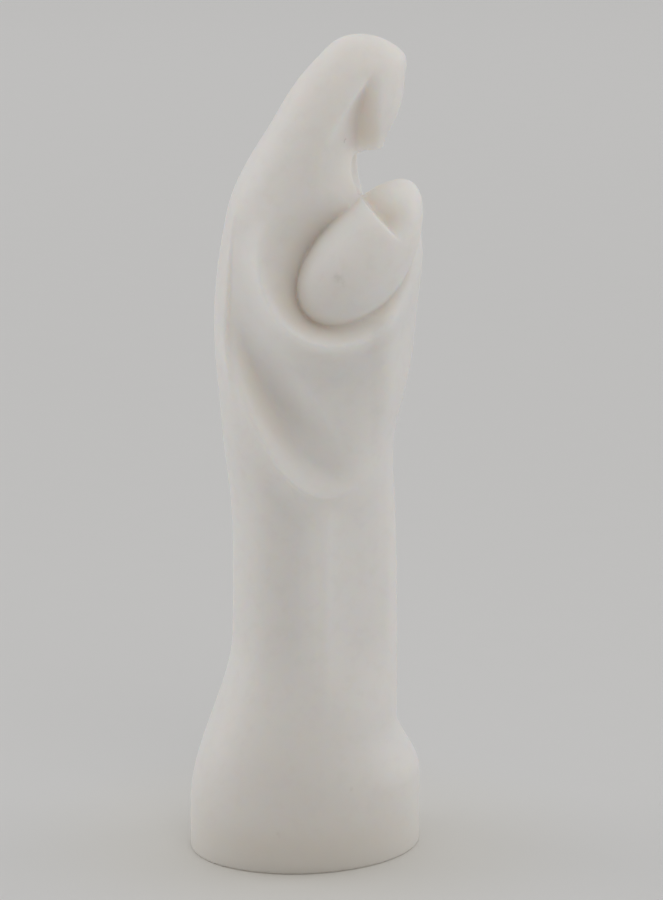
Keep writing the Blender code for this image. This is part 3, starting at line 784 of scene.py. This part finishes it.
def make_statue():
    """The whole figure as one fine skin: loft, gap and child joined, softened, thinned and cut level."""
    statue = make_mother()
    helpers = make_gap_cutter(), make_child(), make_ground_cutter()
    gap_cutter, child_mass, ground_cutter = helpers
    add_boolean(statue, gap_cutter, "DIFFERENCE")
    add_boolean(statue, child_mass, "UNION")
    skin = statue.modifiers.new("one even skin", "REMESH")
    skin.mode = "VOXEL"
    skin.voxel_size = SKIN_GRAIN * MM
    soften = statue.modifiers.new("soften the tool marks", "SMOOTH")
    soften.factor = SOFTENING_STRENGTH
    soften.iterations = SKIN_SOFTENING
    settle(statue)
    fewer = statue.modifiers.new("fewer triangles", "DECIMATE")
    fewer.ratio = min(1.0, TRIANGLES / (2.0 * len(statue.data.polygons)))
    add_boolean(statue, ground_cutter, "DIFFERENCE")
    settle(statue)
    for helper in helpers:
        bpy.data.objects.remove(helper)
    rub_off_arris(statue)
    statue.data.shade_smooth()
    statue.data.set_sharp_from_angle(angle=SHARP_ANGLE)
    return statue


def node(tree, kind, **settings):
    """A shader node with its settings and socket values."""
    made = tree.nodes.new(kind)
    for name, value in settings.items():
        if hasattr(made, name):
            setattr(made, name, value)
        else:
            made.inputs[name.replace("_", " ")].default_value = value
    return made


def link(tree, start, end):
    """Joins an output socket to an input socket, each named as (node, socket)."""
    tree.links.new(start[0].outputs[start[1]], end[0].inputs[end[1]])


def scaled_noise(tree, place, size, detail, shift):
    """Soft noise whose blotches are about size metres across, from 0 to 1."""
    shifted = node(tree, "ShaderNodeVectorMath", operation="ADD")
    shifted.inputs[1].default_value = (shift, 2.0 * shift, -shift)
    noise = node(tree, "ShaderNodeTexNoise", Scale=1.0 / size, Detail=detail, Roughness=NOISE_ROUGHNESS)
    link(tree, (place, "Object"), (shifted, 0))
    link(tree, (shifted, 0), (noise, "Vector"))
    return noise


def spread(tree, source, low, high, to_low, to_high):
    """Maps source's 0 to 1 output from one range to another, softly."""
    made = node(tree, "ShaderNodeMapRange", interpolation_type="SMOOTHSTEP")
    for name, value in (("From Min", low), ("From Max", high), ("To Min", to_low), ("To Max", to_high)):
        made.inputs[name].default_value = value
    link(tree, source, (made, "Value"))
    return made


def tint(tree, colour, amount, shade):
    """Pulls colour towards a shade, by the amount of a 0 to 1 output."""
    mix = node(tree, "ShaderNodeMix", data_type="RGBA")
    own, other = MIX_COLOURS
    link(tree, amount, (mix, MIX_FACTOR))
    link(tree, colour, (mix, own))
    mix.inputs[other].default_value = (*shade, 1.0)
    return mix, MIXED_COLOUR


def ragged(tree, place, grain, reach):
    """Places pushed about by up to reach metres, so that round spots come out uneven."""
    noise = scaled_noise(tree, place, *grain)
    push = node(tree, "ShaderNodeVectorMath", operation="MULTIPLY_ADD")
    link(tree, (noise, "Color"), (push, 0))
    push.inputs[1].default_value = [2.0 * reach] * 3
    push.inputs[2].default_value = [-reach] * 3
    moved = node(tree, "ShaderNodeVectorMath", operation="ADD")
    link(tree, (place, "Object"), (moved, 0))
    link(tree, (push, 0), (moved, 1))
    return moved


def near(tree, moved, spot, radius):
    """1 at a spot on the figure, drawn in millimetres, and 0 beyond radius from it."""
    away = node(tree, "ShaderNodeVectorMath", operation="DISTANCE")
    away.inputs[1].default_value = [value * MM for value in spot]
    link(tree, (moved, 0), (away, 0))
    return spread(tree, (away, "Value"), 0.0, radius * MM, 1.0, 0.0)


def times(tree, source, factor):
    """A 0 to 1 output times a number or another output."""
    made = node(tree, "ShaderNodeMath", operation="MULTIPLY")
    link(tree, source, (made, 0))
    if isinstance(factor, tuple):
        link(tree, factor, (made, 1))
    else:
        made.inputs[1].default_value = factor
    return made, 0


def clouded(tree, place, colour):
    """The stone's colour with its broad clouds and its fine mottling."""
    clouds = scaled_noise(tree, place, *CLOUDS)
    mottle = scaled_noise(tree, place, *MOTTLE)
    cloudy = spread(tree, (clouds, "Fac"), *CLOUD_RANGE, 0.0, CLOUDINESS)
    mottled = spread(tree, (mottle, "Fac"), *MOTTLE_RANGE, 0.0, MOTTLING)
    colour = tint(tree, colour, (cloudy, 0), CLOUD_SHADE)
    return tint(tree, colour, (mottled, 0), MOTTLE_SHADE)


def paint_shade_in_hollows(tree, colour):
    """Painted shade, darker and warmer, on the places that see little of the sky."""
    open_sky = node(tree, "ShaderNodeAmbientOcclusion", samples=HOLLOW_SAMPLES, Distance=HOLLOW_REACH)
    shade_amount = spread(tree, (open_sky, "AO"), *HOLLOW_RANGE, HOLLOW_PAINTED_SHADE_STRENGTH, 0.0)
    return tint(tree, colour, (shade_amount, 0), HOLLOW_PAINTED_SHADE)


def flawed_and_shaded(tree, place, colour):
    """The flaws and the two patches of painted shade at their places, each with a ragged outline."""
    moved = ragged(tree, place, SPOT_GRAIN, SPOT_RAGGEDNESS * MM)
    for spot, radius, strength in FLAWS_AND_PAINTED_SHADE:
        spot_tint = times(tree, (near(tree, moved, spot, radius), 0), strength)
        colour = tint(tree, colour, spot_tint, FLAW_AND_PAINTED_SHADE_COLOUR)
    return colour


def paint_low_front_shade(tree, height, colour):
    """Painted shade on the lower front, darker towards the ground and the front."""
    front_end, back_end = (share * FOOT_DEPTH for share in PAINTED_LOW_SHADE_FRONT)
    low = spread(tree, (height, "Z"), 0.0, PAINTED_LOW_SHADE_HEIGHT * MM, 1.0, 0.0)
    front = spread(tree, (height, "Y"), front_end, back_end, 1.0, 0.0)
    amount = times(tree, times(tree, (low, 0), (front, 0)), PAINTED_LOW_SHADE_STRENGTH)
    return tint(tree, colour, amount, PAINTED_LOW_SHADE_COLOUR)


def polish(tree, place, shader):
    """An uneven polish: rubbed waves in the gloss and the surface, and a fine grain over them."""
    rubbed = scaled_noise(tree, place, *RUBBED)
    gloss = spread(tree, (rubbed, "Fac"), *RUBBED_RANGE, *ROUGHNESS)
    link(tree, (gloss, 0), (shader, "Roughness"))
    wavy = node(tree, "ShaderNodeBump", Strength=1.0, Distance=RUBBED_HEIGHT)
    link(tree, (rubbed, "Fac"), (wavy, "Height"))
    grain = scaled_noise(tree, place, *GRAIN)
    grainy = node(tree, "ShaderNodeBump", Strength=1.0, Distance=GRAIN_HEIGHT)
    link(tree, (grain, "Fac"), (grainy, "Height"))
    link(tree, (wavy, "Normal"), (grainy, "Normal"))
    link(tree, (grainy, "Normal"), (shader, "Normal"))


def alabaster():
    """Polished alabaster: warm white and translucent, faintly clouded, with a few small flaws, and with
    painted shade in its hollows, in two broad patches and on its lower front.
    """
    material = bpy.data.materials.new("alabaster")
    material.use_nodes = True
    tree = material.node_tree
    shader = tree.nodes["Principled BSDF"]
    place = node(tree, "ShaderNodeTexCoord")
    height = node(tree, "ShaderNodeSeparateXYZ")
    link(tree, (place, "Object"), (height, 0))
    base = node(tree, "ShaderNodeRGB")
    base.outputs[0].default_value = (*STONE, 1.0)

    colour = clouded(tree, place, (base, 0))
    # Painted shade: in the hollows, in two broad patches among the flaws, and on the lower front.
    colour = paint_shade_in_hollows(tree, colour)
    colour = flawed_and_shaded(tree, place, colour)
    colour = paint_low_front_shade(tree, height, colour)
    link(tree, colour, (shader, "Base Color"))
    polish(tree, place, shader)

    glow = spread(tree, (height, "Z"), 0.0, DENSE_HEIGHT * MM, TRANSLUCENT_AT_FOOT, 1.0)
    link(tree, (glow, 0), (shader, "Subsurface Weight"))
    shader.inputs["Specular IOR Level"].default_value = SPECULAR
    shader.inputs["Subsurface Radius"].default_value = COLOUR_SPREAD
    shader.inputs["Subsurface Scale"].default_value = TRANSLUCENCY
    return material


def paper():
    """The pale matt paper of the sweep, very slightly mottled, with painted light far off and a painted
    warm shadow round the foot.
    """
    material = bpy.data.materials.new("paper")
    material.use_nodes = True
    tree = material.node_tree
    shader = tree.nodes["Principled BSDF"]
    place = node(tree, "ShaderNodeTexCoord")
    base = node(tree, "ShaderNodeRGB")
    base.outputs[0].default_value = (*PAPER, 1.0)
    away = node(tree, "ShaderNodeVectorMath", operation="LENGTH")
    link(tree, (place, "Object"), (away, 0))
    # Painted light: the paper is lighter far off.
    far = spread(tree, (away, "Value"), *PAPER_FAR_PAINTED_LIGHT_RANGE, 0.0, 1.0)
    colour = tint(tree, (base, 0), (far, 0), PAPER_FAR_PAINTED_LIGHT)
    # Painted shadow: the paper is darker and warmer round the foot.
    beside = spread(tree, (away, "Value"), *PAPER_PAINTED_SHADOW_RANGE, 1.0, 0.0)
    colour = tint(tree, colour, (beside, 0), PAPER_PAINTED_SHADOW)
    fibre = scaled_noise(tree, place, *FIBRES)
    mottled = spread(tree, (fibre, "Fac"), *FIBRE_RANGE, 0.0, FIBRE_MOTTLING)
    link(tree, tint(tree, colour, (mottled, 0), FIBRE_SHADE), (shader, "Base Color"))
    shader.inputs["Roughness"].default_value = PAPER_ROUGHNESS
    shader.inputs["Specular IOR Level"].default_value = PAPER_SPECULAR
    return material


def make_floor():
    """A wide, pale, level floor under the statue."""
    shape = bmesh.new()
    bmesh.ops.create_circle(shape, cap_ends=True, segments=FLOOR_SEGMENTS, radius=FLOOR_RADIUS)
    mesh = bpy.data.meshes.new("floor")
    shape.to_mesh(mesh)
    shape.free()
    floor = bpy.data.objects.new("floor", mesh)
    bpy.context.scene.collection.objects.link(floor)
    mesh.materials.append(paper())


def make_sky():
    """A soft dome of light, dimmer and warmer in front of the figure."""
    world = bpy.data.worlds.new("studio")
    world.use_nodes = True
    tree = world.node_tree
    background = tree.nodes["Background"]
    place = node(tree, "ShaderNodeTexCoord")
    direction = node(tree, "ShaderNodeSeparateXYZ")
    link(tree, (place, "Generated"), (direction, 0))

    level = spread(tree, (direction, "Y"), *SKY_RANGE, SKY_FRONT, SKY_BACK)
    overhead = spread(tree, (direction, "Z"), *SKY_TOP_RANGE, 0.0, 1.0)
    strength = node(tree, "ShaderNodeMix", data_type="FLOAT")
    around, above = MIX_NUMBERS
    link(tree, (overhead, 0), (strength, MIX_FACTOR))
    link(tree, (level, 0), (strength, around))
    strength.inputs[above].default_value = SKY_TOP
    link(tree, (strength, MIXED_NUMBER), (background, "Strength"))

    behind = spread(tree, (direction, "Y"), *SKY_COLOUR_RANGE, 0.0, 1.0)
    colour = node(tree, "ShaderNodeMix", data_type="RGBA")
    front, back = MIX_COLOURS
    link(tree, (behind, 0), (colour, MIX_FACTOR))
    colour.inputs[front].default_value = (*SKY_FRONT_COLOUR, 1.0)
    colour.inputs[back].default_value = (*SKY_BACK_COLOUR, 1.0)
    link(tree, (colour, MIXED_COLOUR), (background, "Color"))
    bpy.context.scene.world = world


def add_light(name, place, size, power, aim):
    """A soft square light."""
    data = bpy.data.lights.new(name, "AREA")
    data.shape = "SQUARE"
    data.size = size
    data.energy = power
    light = bpy.data.objects.new(name, data)
    light.location = place
    light.rotation_euler = (Vector(aim) - Vector(place)).to_track_quat("-Z", "Y").to_euler()
    bpy.context.scene.collection.objects.link(light)


def add_camera():
    """The photograph's view: a long lens, a little above the figure's middle."""
    data = bpy.data.cameras.new("camera")
    camera = bpy.data.objects.new("camera", data)
    bpy.context.scene.collection.objects.link(camera)
    back = Vector((0.0, -math.cos(CAMERA_ELEVATION), math.sin(CAMERA_ELEVATION)))
    camera.location = Vector(CAMERA_TARGET) + back * CAMERA_DISTANCE
    camera.rotation_euler = (-back).to_track_quat("-Z", "Y").to_euler()
    data.sensor_fit = "VERTICAL"
    data.sensor_height = SENSOR
    data.lens = SENSOR * CAMERA_DISTANCE * PIXELS_PER_METRE / PHOTO_HEIGHT
    bpy.context.scene.camera = camera


def main():
    """The finished figure in its studio."""
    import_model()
    statue = make_statue()
    statue.name = "carved_figure"
    statue.data.materials.clear()
    statue.data.materials.append(alabaster())
    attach(statue, "root")
    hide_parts(NODE)
    make_floor()
    make_sky()
    for name, light in LIGHTS.items():
        add_light(name, *light)
    add_camera()
    bpy.context.scene.view_settings.view_transform = "Standard"


main()
